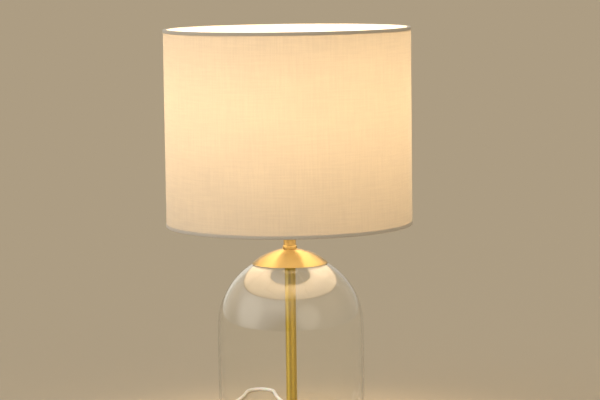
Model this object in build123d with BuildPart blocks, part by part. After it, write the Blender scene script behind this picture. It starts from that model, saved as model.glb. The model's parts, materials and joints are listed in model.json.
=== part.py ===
"""Table lamp: a drum shade on a brass column that stands under a glass cloche.

Millimetres, +Z up. The origin is the centre of the felt foot, on the surface that the lamp stands on.
The flex leaves the base towards +Y.
"""

import math
import os

from build123d import *

# Driving dimensions ---------------------------------------------------------------------------

LAMP_HEIGHT = 525.0
SHADE_RADIUS = 150.0
SHADE_HEIGHT = 240.0

GLASS_RADIUS = 89.5
GLASS_WALL = 3.0
GLASS_TOP = 249.8  # where the outside of the dome crosses the axis
GLASS_BOTTOM = 23.0
GLASS_HOLE_RADIUS = 8.0

CAP_RIM_RADIUS = 46.9
CAP_SPHERE_RADIUS = 71.0
CAP_APEX = 255.3  # of the whole sphere, before the collar's flat seat
CAP_SEAT = 254.65
CAP_THICKNESS = 1.0

COLUMN_RADIUS = 6.7
ROD_RADIUS = 5.0
ROD_BORE_RADIUS = 3.5
ROD_CLEARANCE = 0.1

BASE_RADIUS = 96.0
BASE_TOP = 26.0
SHEET = 1.5  # thickness of the spun base shell
FELT = 1.5
COVER = 1.0

FLEX_RADIUS = 2.5
FLEX_EXIT_HEIGHT = 6.5
FLEX_ON_FLOOR = 2.6  # height of the flex's centreline where it lies on the table

# Derived dimensions ---------------------------------------------------------------------------

SHADE_BOTTOM = LAMP_HEIGHT - SHADE_HEIGHT
DOME_CENTRE = GLASS_TOP - GLASS_RADIUS
CAP_CENTRE = CAP_APEX - CAP_SPHERE_RADIUS
COLLAR_TOP = CAP_SEAT + 5.25

os.makedirs("parts", exist_ok=True)


def save(part, name):
    """Labels a finished piece and writes it as one STEP file."""
    part.label = name
    export_step(part, f"parts/{name}.step")


def on_sphere(sphere_radius, centre_height, radius):
    """Height of a sphere on the Z axis, at a distance from that axis."""
    return centre_height + math.sqrt(sphere_radius**2 - radius**2)


def disc(low, high, outer, inner=0.0):
    """A flat ring, or a disc where inner is 0, about the Z axis."""
    with BuildPart() as made:
        with BuildSketch(Plane.XY.offset(low)):
            Circle(outer)
            if inner:
                Circle(inner, mode=Mode.SUBTRACT)
        extrude(amount=high - low)
    return made.part


def hex_nut(low, high, across_flats):
    """A hexagon nut on the threaded rod."""
    with BuildPart() as made:
        with BuildSketch(Plane.XY.offset(low)):
            RegularPolygon(across_flats / 2, 6, major_radius=False)
            Circle(ROD_RADIUS + ROD_CLEARANCE, mode=Mode.SUBTRACT)
        extrude(amount=high - low)
    return made.part


# Base -----------------------------------------------------------------------------------------

GROOVE_OUTER = 91.5
GROOVE_INNER = 84.5
GROOVE_FLOOR = 22.0
SHELL_FOOT = 1.2  # the shell's lower edge, which stays clear of the table
FLEX_HOLE_RADIUS = 3.6

with BuildPart() as base_shell:
    with BuildSketch(Plane.XZ):
        with BuildLine():
            Polyline(
                (BASE_RADIUS, SHELL_FOOT),
                (BASE_RADIUS, BASE_TOP),
                (GROOVE_OUTER, BASE_TOP),
                (GROOVE_OUTER, GROOVE_FLOOR),
                (GROOVE_INNER, GROOVE_FLOOR),
                (GROOVE_INNER, BASE_TOP),
                (ROD_RADIUS + ROD_CLEARANCE, BASE_TOP),
                (ROD_RADIUS + ROD_CLEARANCE, BASE_TOP - SHEET),
                (GROOVE_INNER - SHEET, BASE_TOP - SHEET),
                (GROOVE_INNER - SHEET, GROOVE_FLOOR - SHEET),
                (GROOVE_OUTER + SHEET, GROOVE_FLOOR - SHEET),
                (GROOVE_OUTER + SHEET, BASE_TOP - SHEET),
                (BASE_RADIUS - SHEET, BASE_TOP - SHEET),
                (BASE_RADIUS - SHEET, SHELL_FOOT),
                close=True,
            )
        make_face()
    revolve(axis=Axis.Z)
    top_rims = base_shell.edges().filter_by(GeomType.CIRCLE).group_by(Axis.Z)[-1]
    fillet(top_rims.sort_by(SortBy.RADIUS)[-1], radius=2.2)
    with Locations((0, BASE_RADIUS, FLEX_EXIT_HEIGHT)):
        Cylinder(FLEX_HOLE_RADIUS, 8, rotation=(90, 0, 0), mode=Mode.SUBTRACT)
save(base_shell.part, "base_shell")

COVER_TOP = FELT + COVER
WEIGHT_LOW = 16.5
WEIGHT_RADIUS = 80.0
CLAMP_Y = 60.0
CLAMP_SCREW_X = 7.0
CLAMP_SCREW_RADIUS = 1.25
CLAMP_SCREW_TOP = 21.5

with BuildPart() as base_weight:
    with BuildSketch(Plane.XY.offset(WEIGHT_LOW)):
        Circle(WEIGHT_RADIUS)
        Circle(ROD_RADIUS + 1, mode=Mode.SUBTRACT)
    extrude(amount=BASE_TOP - SHEET - WEIGHT_LOW)
    fillet(base_weight.edges().filter_by(GeomType.CIRCLE).sort_by(SortBy.RADIUS)[-2:], radius=1.0)
    with Locations((-CLAMP_SCREW_X, CLAMP_Y, WEIGHT_LOW), (CLAMP_SCREW_X, CLAMP_Y, WEIGHT_LOW)):
        Cylinder(
            CLAMP_SCREW_RADIUS + 0.05,
            CLAMP_SCREW_TOP - WEIGHT_LOW + 0.2,
            align=(Align.CENTER, Align.CENTER, Align.MIN),
            mode=Mode.SUBTRACT,
        )
save(base_weight.part, "base_weight")

save(disc(FELT, COVER_TOP, BASE_RADIUS - SHEET - 0.3), "base_cover")
save(disc(0, FELT, BASE_RADIUS - SHEET - 5), "felt_foot")

# Column ---------------------------------------------------------------------------------------

ROD_LOW = 10.5
ROD_HIGH = 272.0
NUT_LOW = 11.0
WASHER_LOW = 15.0
FOOT_HEIGHT = 5.0
SUPPORT_LOW = 242.7
SUPPORT_HIGH = 244.2
LOWER_WASHER_HIGH = 245.7

save(disc(ROD_LOW, ROD_HIGH, ROD_RADIUS, ROD_BORE_RADIUS), "threaded_rod")
save(hex_nut(NUT_LOW, WASHER_LOW, 14), "base_nut")
save(disc(WASHER_LOW, WEIGHT_LOW, 12, ROD_RADIUS + ROD_CLEARANCE), "base_washer")
save(disc(BASE_TOP, SUPPORT_LOW, COLUMN_RADIUS, COLUMN_RADIUS - 1.2), "column_tube")

with BuildPart() as column_foot:
    with BuildSketch(Plane.XZ):
        with BuildLine():
            Polyline(
                (COLUMN_RADIUS + 0.1, BASE_TOP),
                (13, BASE_TOP),
                (13, BASE_TOP + 2),
                (9, BASE_TOP + FOOT_HEIGHT),
                (COLUMN_RADIUS + 0.1, BASE_TOP + FOOT_HEIGHT),
                close=True,
            )
        make_face()
    revolve(axis=Axis.Z)
    outer_rims = column_foot.edges().filter_by(GeomType.CIRCLE).sort_by(SortBy.RADIUS)
    fillet(outer_rims[-1:] + outer_rims[2:3], radius=0.8)
save(column_foot.part, "column_foot")

# Glass and its seals --------------------------------------------------------------------------

GASKET = 1.0

save(disc(GROOVE_FLOOR, GROOVE_FLOOR + GASKET, 90.8, 85.2), "cloche_gasket")

with BuildPart() as glass_cloche:
    inner_radius = GLASS_RADIUS - GLASS_WALL
    hole_outside = (GLASS_HOLE_RADIUS, on_sphere(GLASS_RADIUS, DOME_CENTRE, GLASS_HOLE_RADIUS))
    hole_inside = (GLASS_HOLE_RADIUS, on_sphere(inner_radius, DOME_CENTRE, GLASS_HOLE_RADIUS))
    with BuildSketch(Plane.XZ):
        with BuildLine():
            Line((GLASS_RADIUS, GLASS_BOTTOM), (GLASS_RADIUS, DOME_CENTRE))
            RadiusArc((GLASS_RADIUS, DOME_CENTRE), hole_outside, -GLASS_RADIUS)
            Line(hole_outside, hole_inside)
            RadiusArc(hole_inside, (inner_radius, DOME_CENTRE), inner_radius)
            Line((inner_radius, DOME_CENTRE), (inner_radius, GLASS_BOTTOM))
            Line((inner_radius, GLASS_BOTTOM), (GLASS_RADIUS, GLASS_BOTTOM))
        make_face()
    revolve(axis=Axis.Z)
    fillet(glass_cloche.edges().filter_by(GeomType.CIRCLE).group_by(Axis.Z)[0], radius=1.2)
save(glass_cloche.part, "glass_cloche")

hole_bush_low = LOWER_WASHER_HIGH + 0.1
hole_bush_high = on_sphere(GLASS_RADIUS, DOME_CENTRE, GLASS_HOLE_RADIUS)
save(disc(SUPPORT_LOW, SUPPORT_HIGH, 15, ROD_RADIUS + ROD_CLEARANCE), "glass_support_disc")
save(disc(SUPPORT_HIGH, LOWER_WASHER_HIGH, 13, ROD_RADIUS + ROD_CLEARANCE), "lower_glass_washer")
save(disc(hole_bush_low, hole_bush_high, 7.8, ROD_RADIUS + ROD_CLEARANCE), "glass_hole_bush")
save(disc(249.5, 251.0, 14, ROD_RADIUS + ROD_CLEARANCE), "upper_glass_washer")
save(hex_nut(251.0, CAP_SEAT - CAP_THICKNESS, 14), "cap_nut")

# Brass cap and collar -------------------------------------------------------------------------

with BuildPart() as dome_cap:
    cap_inner = CAP_SPHERE_RADIUS - CAP_THICKNESS
    rim_height = on_sphere(CAP_SPHERE_RADIUS, CAP_CENTRE, CAP_RIM_RADIUS)
    rim_inside = math.sqrt(cap_inner**2 - (rim_height - CAP_CENTRE) ** 2)
    seat_radius = math.sqrt(CAP_SPHERE_RADIUS**2 - (CAP_SEAT - CAP_CENTRE) ** 2)
    seat_inside = math.sqrt(cap_inner**2 - (CAP_SEAT - CAP_THICKNESS - CAP_CENTRE) ** 2)
    bore = ROD_RADIUS + ROD_CLEARANCE
    with BuildSketch(Plane.XZ):
        with BuildLine():
            RadiusArc((CAP_RIM_RADIUS, rim_height), (seat_radius, CAP_SEAT), -CAP_SPHERE_RADIUS)
            Line((seat_radius, CAP_SEAT), (bore, CAP_SEAT))
            Line((bore, CAP_SEAT), (bore, CAP_SEAT - CAP_THICKNESS))
            Line((bore, CAP_SEAT - CAP_THICKNESS), (seat_inside, CAP_SEAT - CAP_THICKNESS))
            RadiusArc((seat_inside, CAP_SEAT - CAP_THICKNESS), (rim_inside, rim_height), cap_inner)
            Line((rim_inside, rim_height), (CAP_RIM_RADIUS, rim_height))
        make_face()
    revolve(axis=Axis.Z)
save(dome_cap.part, "dome_cap")

COLLAR_RADIUS = 8.9

with BuildPart() as collar:
    with BuildSketch(Plane.XY.offset(CAP_SEAT)):
        Circle(COLLAR_RADIUS)
        Circle(ROD_RADIUS + ROD_CLEARANCE, mode=Mode.SUBTRACT)
    extrude(amount=COLLAR_TOP - CAP_SEAT)
    fillet(collar.edges().filter_by(GeomType.CIRCLE).sort_by(SortBy.RADIUS)[-2:], radius=1.6)
save(collar.part, "collar_nut")

# Lampholder -----------------------------------------------------------------------------------

NECK_RADIUS = 7.7
NECK_TOP = 268.5
CUP_RADIUS = 19.2
CUP_SHOULDER = 283.0
CUP_TOP = 293.0
CUP_WALL = 1.2
HOLDER_FLANGE_LOW = 299.0
HOLDER_FLANGE_HIGH = 301.0
HOLDER_THREAD_RADIUS = 19.5
HOLDER_TOP = 320.0
SCREW_SHELL_RADIUS = 14.0
SCREW_SHELL_WALL = 0.5
INSERT_LOW = 275.5
INSERT_STEP = 280.5
INSERT_TOP = 284.0

with BuildPart() as holder_cup:
    with BuildSketch(Plane.XZ):
        with BuildLine():
            Line((NECK_RADIUS, COLLAR_TOP), (NECK_RADIUS, NECK_TOP))
            RadiusArc((NECK_RADIUS, NECK_TOP), (CUP_RADIUS, CUP_SHOULDER), -18)
            Line((CUP_RADIUS, CUP_SHOULDER), (CUP_RADIUS, CUP_TOP))
            Line((CUP_RADIUS, CUP_TOP), (CUP_RADIUS - CUP_WALL, CUP_TOP))
            Line((CUP_RADIUS - CUP_WALL, CUP_TOP), (CUP_RADIUS - CUP_WALL, CUP_SHOULDER + 0.4))
            RadiusArc((CUP_RADIUS - CUP_WALL, CUP_SHOULDER + 0.4), (NECK_RADIUS, NECK_TOP + 1.8), 18)
            Line((NECK_RADIUS, NECK_TOP + 1.8), (ROD_RADIUS + ROD_CLEARANCE, NECK_TOP + 1.8))
            Line((ROD_RADIUS + ROD_CLEARANCE, NECK_TOP + 1.8), (ROD_RADIUS + ROD_CLEARANCE, COLLAR_TOP))
            Line((ROD_RADIUS + ROD_CLEARANCE, COLLAR_TOP), (NECK_RADIUS, COLLAR_TOP))
        make_face()
    revolve(axis=Axis.Z)
save(holder_cup.part, "holder_cup")

with BuildPart() as holder_body:
    spigot = CUP_RADIUS - CUP_WALL - 0.1
    shell_bore = SCREW_SHELL_RADIUS + 0.1
    with BuildSketch(Plane.XZ):
        with BuildLine():
            Polyline(
                (spigot, INSERT_TOP + 0.5),
                (spigot, CUP_TOP),
                (CUP_RADIUS, CUP_TOP),
                (CUP_RADIUS, HOLDER_FLANGE_LOW),
                (22.5, HOLDER_FLANGE_LOW),
                (22.5, HOLDER_FLANGE_HIGH),
                (HOLDER_THREAD_RADIUS, HOLDER_FLANGE_HIGH),
                (HOLDER_THREAD_RADIUS, HOLDER_TOP),
                (17.0, HOLDER_TOP),
                (shell_bore, HOLDER_TOP - 5),
                (shell_bore, INSERT_TOP + 0.5),
                close=True,
            )
        make_face()
    revolve(axis=Axis.Z)
    fillet(
        holder_body.edges().filter_by(GeomType.CIRCLE).group_by(Axis.Z)[-1], radius=0.6
    )
save(holder_body.part, "holder_body")

with BuildPart() as holder_insert:
    with BuildSketch(Plane.XY.offset(INSERT_LOW)):
        Circle(11.5)
    extrude(amount=INSERT_STEP - INSERT_LOW)
    with BuildSketch(Plane.XY.offset(INSERT_STEP)):
        Circle(16.5)
    extrude(amount=INSERT_TOP - INSERT_STEP)
    with Locations((-9, 0, INSERT_LOW), (9, 0, INSERT_LOW)):
        Cylinder(
            1.6, 6, align=(Align.CENTER, Align.CENTER, Align.MIN), mode=Mode.SUBTRACT
        )
save(holder_insert.part, "holder_insert")

with BuildPart() as terminal_screws:
    with Locations((-9, 0, INSERT_LOW + 0.3), (9, 0, INSERT_LOW + 0.3)):
        Cylinder(1.5, 5, align=(Align.CENTER, Align.CENTER, Align.MIN))
save(terminal_screws.part, "terminal_screws")

with BuildPart() as screw_shell:
    with BuildSketch(Plane.XY.offset(INSERT_TOP)):
        Circle(SCREW_SHELL_RADIUS)
        Circle(SCREW_SHELL_RADIUS - SCREW_SHELL_WALL, mode=Mode.SUBTRACT)
    extrude(amount=28)
save(screw_shell.part, "holder_screw_shell")

CONTACT_TOP = INSERT_TOP + 2.0

with BuildPart() as centre_contact:
    with BuildSketch(Plane.XZ):
        with BuildLine():
            Polyline(
                (-7, INSERT_TOP),
                (-1, INSERT_TOP),
                (4, CONTACT_TOP - 0.4),
                (4, CONTACT_TOP),
                (-1.2, INSERT_TOP + 0.5),
                (-7, INSERT_TOP + 0.5),
                close=True,
            )
        make_face()
    extrude(amount=2.5, both=True)
save(centre_contact.part, "holder_centre_contact")

RING_LOW = 303.1
RING_HIGH = 309.5
RING_RADIUS = 27.0
RING_GRIPS = 24

with BuildPart() as retaining_ring:
    with BuildSketch(Plane.XY.offset(RING_LOW)):
        Circle(RING_RADIUS)
        Circle(HOLDER_THREAD_RADIUS + 0.4, mode=Mode.SUBTRACT)
        with PolarLocations(RING_RADIUS + 0.4, RING_GRIPS):
            Circle(1.3, mode=Mode.SUBTRACT)
    extrude(amount=RING_HIGH - RING_LOW)
save(retaining_ring.part, "retaining_ring")

# Shade ----------------------------------------------------------------------------------------

TRIM_HEIGHT = 4.5
TRIM_OUTER = SHADE_RADIUS + 0.4
TRIM_INNER = 145.4
WIRE_RADIUS = 1.6
WIRE_CIRCLE = 147.3
WIRE_INSET = 2.4  # from the shade's edge to the middle of the wire
FABRIC = 0.5
LINER = 0.45
GIMBAL_LOW = 301.2
GIMBAL_THICKNESS = 1.6
GIMBAL_ARM_RADIUS = 1.5
GIMBAL_ARM_ANGLES = (60, 180, 300)
top_wire_height = LAMP_HEIGHT - WIRE_INSET
bottom_wire_height = SHADE_BOTTOM + WIRE_INSET


def trim_profile(low):
    """The rolled edge's section, drawn in Plane.XZ."""
    with BuildSketch(Plane.XZ) as section:
        with Locations(((TRIM_INNER + TRIM_OUTER) / 2, low + TRIM_HEIGHT / 2)):
            RectangleRounded(TRIM_OUTER - TRIM_INNER, TRIM_HEIGHT, 0.9)
    return section.sketch


with BuildPart() as top_wire:
    with BuildSketch(Plane.XZ):
        with Locations((WIRE_CIRCLE, top_wire_height)):
            Circle(WIRE_RADIUS)
    revolve(axis=Axis.Z)
save(top_wire.part, "shade_top_wire")

with BuildPart() as bottom_wire:
    with BuildSketch(Plane.XZ):
        with Locations((WIRE_CIRCLE, bottom_wire_height)):
            Circle(WIRE_RADIUS)
    revolve(axis=Axis.Z)
save(bottom_wire.part, "shade_bottom_wire")

gimbal_ring = disc(GIMBAL_LOW, GIMBAL_LOW + GIMBAL_THICKNESS, 30.5, 20.6)
save(gimbal_ring, "gimbal_ring")

with BuildPart() as gimbal_arms:
    arm_height = GIMBAL_LOW + GIMBAL_ARM_RADIUS
    for angle in GIMBAL_ARM_ANGLES:
        with BuildLine(Plane.XZ.rotated((0, 0, angle))) as arm_path:
            FilletPolyline(
                (29, arm_height), (112, arm_height), (WIRE_CIRCLE, bottom_wire_height), radius=14
            )
        with BuildSketch(Plane(arm_path.line @ 0, z_dir=arm_path.line % 0)):
            Circle(GIMBAL_ARM_RADIUS)
        sweep(path=arm_path.line)
    add(gimbal_ring, mode=Mode.SUBTRACT)
    add(bottom_wire.part, mode=Mode.SUBTRACT)
save(gimbal_arms.part, "gimbal_arms")

with BuildPart() as top_trim:
    add(trim_profile(LAMP_HEIGHT - TRIM_HEIGHT))
    revolve(axis=Axis.Z)
    add(top_wire.part, mode=Mode.SUBTRACT)
save(top_trim.part, "shade_top_trim")

with BuildPart() as bottom_trim:
    add(trim_profile(SHADE_BOTTOM))
    revolve(axis=Axis.Z)
    add(bottom_wire.part, mode=Mode.SUBTRACT)
    add(gimbal_arms.part, mode=Mode.SUBTRACT)
save(bottom_trim.part, "shade_bottom_trim")

panel_low = SHADE_BOTTOM + TRIM_HEIGHT
panel_high = LAMP_HEIGHT - TRIM_HEIGHT
liner_outer = SHADE_RADIUS - FABRIC - 0.05
save(disc(panel_low, panel_high, SHADE_RADIUS, SHADE_RADIUS - FABRIC), "shade_fabric")
save(disc(panel_low, panel_high, liner_outer, liner_outer - LINER), "shade_liner")

# Bulb -----------------------------------------------------------------------------------------

BULB_TIP = CONTACT_TOP + 0.2
BULB_CAP_LOW = 291.0
BULB_CAP_TOP = 313.0
BULB_CAP_RADIUS = 13.1
GLOBE_RADIUS = 30.0
GLOBE_CENTRE = 363.5
GLOBE_WALL = 1.0
GLOBE_OPENING = 352.0

save(disc(BULB_TIP, BULB_TIP + 1.0, 4.5), "bulb_contact")

with BuildPart() as bulb_insulator:
    with BuildSketch(Plane.XY.offset(BULB_TIP + 1.0)):
        Circle(5.0)
    with BuildSketch(Plane.XY.offset(BULB_CAP_LOW)):
        Circle(10.5)
    loft()
save(bulb_insulator.part, "bulb_insulator")

with BuildPart() as bulb_screw_cap:
    with BuildSketch(Plane.XY.offset(BULB_CAP_LOW)):
        Circle(BULB_CAP_RADIUS)
    extrude(amount=BULB_CAP_TOP - BULB_CAP_LOW)
    chamfer(bulb_screw_cap.edges().group_by(Axis.Z)[0], length=1.5)
    with BuildSketch(Plane.XY.offset(BULB_CAP_LOW + 0.5)):
        Circle(BULB_CAP_RADIUS - 1.6)
    extrude(amount=BULB_CAP_TOP - BULB_CAP_LOW, mode=Mode.SUBTRACT)
save(bulb_screw_cap.part, "bulb_screw_cap")

globe_rim = math.sqrt(GLOBE_RADIUS**2 - (GLOBE_CENTRE - GLOBE_OPENING) ** 2)

with BuildPart() as bulb_housing:
    with BuildSketch(Plane.XZ):
        with BuildLine():
            Polyline((0, GLOBE_OPENING), (0, BULB_CAP_LOW + 1), (11.3, BULB_CAP_LOW + 1))
            Line((11.3, BULB_CAP_LOW + 1), (11.3, BULB_CAP_TOP))
            Line((11.3, BULB_CAP_TOP), (13.4, BULB_CAP_TOP))
            Line((13.4, BULB_CAP_TOP), (13.4, BULB_CAP_TOP + 3))
            RadiusArc((13.4, BULB_CAP_TOP + 3), (globe_rim, GLOBE_OPENING), 70)
            Line((globe_rim, GLOBE_OPENING), (0, GLOBE_OPENING))
        make_face()
    revolve(axis=Axis.Z)
save(bulb_housing.part, "bulb_housing")

save(disc(GLOBE_OPENING, GLOBE_OPENING + 1.6, 22), "bulb_led_board")

with BuildPart() as bulb_globe:
    with Locations((0, 0, GLOBE_CENTRE)):
        Sphere(GLOBE_RADIUS)
        Sphere(GLOBE_RADIUS - GLOBE_WALL, mode=Mode.SUBTRACT)
    split(bisect_by=Plane.XY.offset(GLOBE_OPENING), keep=Keep.TOP)
save(bulb_globe.part, "bulb_globe")

# Leads inside the lamp ------------------------------------------------------------------------

LEAD_RADIUS = 0.9
LEAD_X = 1.2
LEAD_BEND = 4.4
TAIL_END = 50.0
BUSH_INSIDE = BASE_RADIUS - SHEET - 2.0


def lead(side):
    """One insulated core, from the sheath's end in the base, up the rod to the lampholder."""
    x = side * LEAD_X
    with BuildPart() as made:
        with BuildLine() as path:
            FilletPolyline(
                (x, TAIL_END, FLEX_EXIT_HEIGHT),
                (x, 0, FLEX_EXIT_HEIGHT),
                (x, 0, INSERT_LOW),
                radius=LEAD_BEND,
            )
        with BuildSketch(Plane(path.line @ 0, z_dir=path.line % 0)):
            Circle(LEAD_RADIUS)
        sweep(path=path.line)
    return made.part


save(lead(-1), "live_lead")
save(lead(1), "neutral_lead")

with BuildPart() as flex_tail:
    with BuildSketch(Plane.XZ.offset(-TAIL_END)):
        with Locations((0, FLEX_EXIT_HEIGHT)):
            Circle(FLEX_RADIUS)
    extrude(amount=-(BUSH_INSIDE - TAIL_END))
save(flex_tail.part, "flex_tail")

CLAMP_LOW = 4.4

with BuildPart() as cord_clamp:
    with Locations((0, CLAMP_Y, CLAMP_LOW)):
        Box(21, 8, WEIGHT_LOW - CLAMP_LOW, align=(Align.CENTER, Align.CENTER, Align.MIN))
    fillet(cord_clamp.edges().filter_by(Axis.Z), radius=1.5)
    with Locations((0, CLAMP_Y, FLEX_EXIT_HEIGHT)):
        Cylinder(FLEX_RADIUS + 0.05, 10, rotation=(90, 0, 0), mode=Mode.SUBTRACT)
    with Locations((-CLAMP_SCREW_X, CLAMP_Y, 0), (CLAMP_SCREW_X, CLAMP_Y, 0)):
        Cylinder(CLAMP_SCREW_RADIUS + 0.05, 60, mode=Mode.SUBTRACT)
save(cord_clamp.part, "cord_clamp")

with BuildPart() as clamp_screws:
    with Locations((-CLAMP_SCREW_X, CLAMP_Y, CLAMP_LOW), (CLAMP_SCREW_X, CLAMP_Y, CLAMP_LOW)):
        Cylinder(
            CLAMP_SCREW_RADIUS,
            CLAMP_SCREW_TOP - CLAMP_LOW,
            align=(Align.CENTER, Align.CENTER, Align.MIN),
        )
        Cylinder(2.4, 1.5, align=(Align.CENTER, Align.CENTER, Align.MAX))
save(clamp_screws.part, "clamp_screws")

# Strain relief where the flex leaves the base ---------------------------------------------------

RELIEF_END = 120.0

with BuildPart() as strain_relief:
    with BuildSketch(Plane.XZ.offset(-BUSH_INSIDE)):
        with Locations((0, FLEX_EXIT_HEIGHT)):
            Circle(3.9)
    extrude(amount=-1.8)
    with BuildSketch(Plane.XZ.offset(-BUSH_INSIDE - 1.8)):
        with Locations((0, FLEX_EXIT_HEIGHT)):
            Circle(FLEX_HOLE_RADIUS - 0.1)
    extrude(amount=-(BASE_RADIUS + 0.3 - BUSH_INSIDE - 1.8))
    with BuildSketch(Plane.XZ.offset(-BASE_RADIUS - 0.3)):
        with Locations((0, FLEX_EXIT_HEIGHT)):
            Circle(5.0)
    extrude(amount=-2.5)
    with BuildSketch(Plane.XZ.offset(-BASE_RADIUS - 2.8)):
        with Locations((0, FLEX_EXIT_HEIGHT)):
            Circle(4.4)
    with BuildSketch(Plane.XZ.offset(-RELIEF_END)):
        with Locations((0, FLEX_EXIT_HEIGHT)):
            Circle(2.9)
    loft()
save(strain_relief.part, "strain_relief")

# Inline switch --------------------------------------------------------------------------------

SWITCH_X = -122.0
SWITCH_Y = 200.0
SWITCH_LENGTH = 62.0
SWITCH_WIDTH = 27.0
SWITCH_SPLIT = 7.0
SWITCH_TOP = 17.0
SWITCH_WALL = 1.6
SWITCH_CORNER = 8.0
ENTRY_HEIGHT = 7.0
PIVOT_HEIGHT = 12.0
PIVOT_RADIUS = 1.2
WINDOW_WIDTH = 11.0
WINDOW_LENGTH = 20.5
ROCKER_WIDTH = 10.2
ROCKER_LENGTH = 18.4
ROCKER_TILT = 10.0
EAR_GAP = 0.25
switch_rear = SWITCH_Y + SWITCH_LENGTH / 2
switch_front = SWITCH_Y - SWITCH_LENGTH / 2


def switch_outline(height, shrink=0.0):
    """The switch housing's plan, as a sketch at a height."""
    with BuildSketch(Plane.XY.offset(height)) as plan:
        with Locations((SWITCH_X, SWITCH_Y)):
            RectangleRounded(
                SWITCH_WIDTH - 2 * shrink, SWITCH_LENGTH - 2 * shrink, SWITCH_CORNER - shrink
            )
    return plan.sketch


SCREW_OFFSET = 21.0
SCREW_RADIUS = 1.3

with BuildPart() as switch_base:
    add(switch_outline(0))
    extrude(amount=SWITCH_SPLIT)
    fillet(switch_base.edges().group_by(Axis.Z)[0], radius=1.0)
    add(switch_outline(SWITCH_WALL, SWITCH_WALL))
    extrude(amount=SWITCH_SPLIT, mode=Mode.SUBTRACT)
    with Locations((SWITCH_X, SWITCH_Y, SWITCH_WALL)):
        with GridLocations(ROCKER_WIDTH + 2 * EAR_GAP + SWITCH_WALL, 0, 2, 1):
            Box(
                SWITCH_WALL,
                7,
                PIVOT_HEIGHT + 2.2 - SWITCH_WALL,
                align=(Align.CENTER, Align.CENTER, Align.MIN),
            )
        with GridLocations(0, 2 * SCREW_OFFSET, 1, 2):
            Cylinder(
                3.0,
                SWITCH_SPLIT - SWITCH_WALL,
                align=(Align.CENTER, Align.CENTER, Align.MIN),
            )
    with Locations((SWITCH_X, SWITCH_Y, PIVOT_HEIGHT)):
        Cylinder(PIVOT_RADIUS + 0.05, SWITCH_WIDTH, rotation=(0, 90, 0), mode=Mode.SUBTRACT)
    with Locations((SWITCH_X, SWITCH_Y, 0)):
        with GridLocations(0, 2 * SCREW_OFFSET, 1, 2):
            Cylinder(SCREW_RADIUS + 0.1, 40, mode=Mode.SUBTRACT)
save(switch_base.part, "switch_base")

with BuildPart() as switch_cover:
    add(switch_outline(SWITCH_SPLIT))
    extrude(amount=SWITCH_TOP - SWITCH_SPLIT)
    fillet(switch_cover.edges().group_by(Axis.Z)[-1], radius=2.5)
    add(switch_outline(SWITCH_SPLIT, SWITCH_WALL))
    extrude(amount=SWITCH_TOP - SWITCH_SPLIT - SWITCH_WALL, mode=Mode.SUBTRACT)
    with BuildSketch(Plane.XY.offset(SWITCH_TOP)):
        with Locations((SWITCH_X, SWITCH_Y)):
            RectangleRounded(WINDOW_WIDTH, WINDOW_LENGTH, 1.0)
    extrude(amount=-2 * SWITCH_WALL, mode=Mode.SUBTRACT)
    with Locations((SWITCH_X, SWITCH_Y, SWITCH_TOP - SWITCH_WALL)):
        with GridLocations(0, 2 * SCREW_OFFSET, 1, 2):
            Cylinder(
                3.0,
                SWITCH_TOP - SWITCH_WALL - SWITCH_SPLIT,
                align=(Align.CENTER, Align.CENTER, Align.MAX),
            )
    with Locations((SWITCH_X, SWITCH_Y, SWITCH_SPLIT)):
        with GridLocations(0, 2 * SCREW_OFFSET, 1, 2):
            Cylinder(
                SCREW_RADIUS - 0.1,
                7.0,
                align=(Align.CENTER, Align.CENTER, Align.MIN),
                mode=Mode.SUBTRACT,
            )
save(switch_cover.part, "switch_cover")

with BuildPart() as switch_screws:
    with Locations((SWITCH_X, SWITCH_Y, 0.3)):
        with GridLocations(0, 2 * SCREW_OFFSET, 1, 2):
            Cylinder(
                SCREW_RADIUS - 0.2, 12.5, align=(Align.CENTER, Align.CENTER, Align.MIN)
            )
save(switch_screws.part, "switch_screws")

with BuildPart() as switch_rocker:
    tilt = math.radians(ROCKER_TILT)
    tilted = Plane(
        origin=(SWITCH_X, SWITCH_Y, PIVOT_HEIGHT),
        x_dir=(0, math.cos(tilt), math.sin(tilt)),
        z_dir=(1, 0, 0),
    )
    with BuildSketch(tilted):
        with BuildLine():
            Polyline(
                (-ROCKER_LENGTH / 2, 5.2),
                (0, 4.4),
                (ROCKER_LENGTH / 2, 5.2),
                (ROCKER_LENGTH / 2 - 1.2, 1.5),
                (3, -2.2),
                (-3, -2.2),
                (-ROCKER_LENGTH / 2 + 1.2, 1.5),
                close=True,
            )
        make_face()
    extrude(amount=ROCKER_WIDTH / 2, both=True)
    fillet(switch_rocker.edges().filter_by(Axis.X).sort_by(Axis.Z)[-3:], radius=0.5)
    with Locations((SWITCH_X, SWITCH_Y, PIVOT_HEIGHT)):
        Cylinder(
            PIVOT_RADIUS, ROCKER_WIDTH + 2 * EAR_GAP + 2 * SWITCH_WALL - 0.4, rotation=(0, 90, 0)
        )
save(switch_rocker.part, "switch_rocker")

with BuildPart() as switch_contacts:
    with Locations(
        (SWITCH_X, SWITCH_Y - 14.0, SWITCH_WALL),
        (SWITCH_X, SWITCH_Y + 14.0, SWITCH_WALL),
    ):
        Box(6, 5, 4, align=(Align.CENTER, Align.CENTER, Align.MIN))
save(switch_contacts.part, "switch_contacts")

# Plug -----------------------------------------------------------------------------------------

PLUG_X = -30.0
PLUG_REAR = 205.0  # where the flex enters
PLUG_NECK = 16.0
PLUG_BODY = 34.0
PLUG_WIDTH = 35.0
PLUG_THICKNESS = 13.8
PIN_SPACING = 18.6
PIN_RADIUS = 2.0
PIN_LENGTH = 19.0
plug_height = PLUG_THICKNESS / 2
plug_shoulder = PLUG_REAR + PLUG_NECK
plug_face = plug_shoulder + PLUG_BODY

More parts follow.
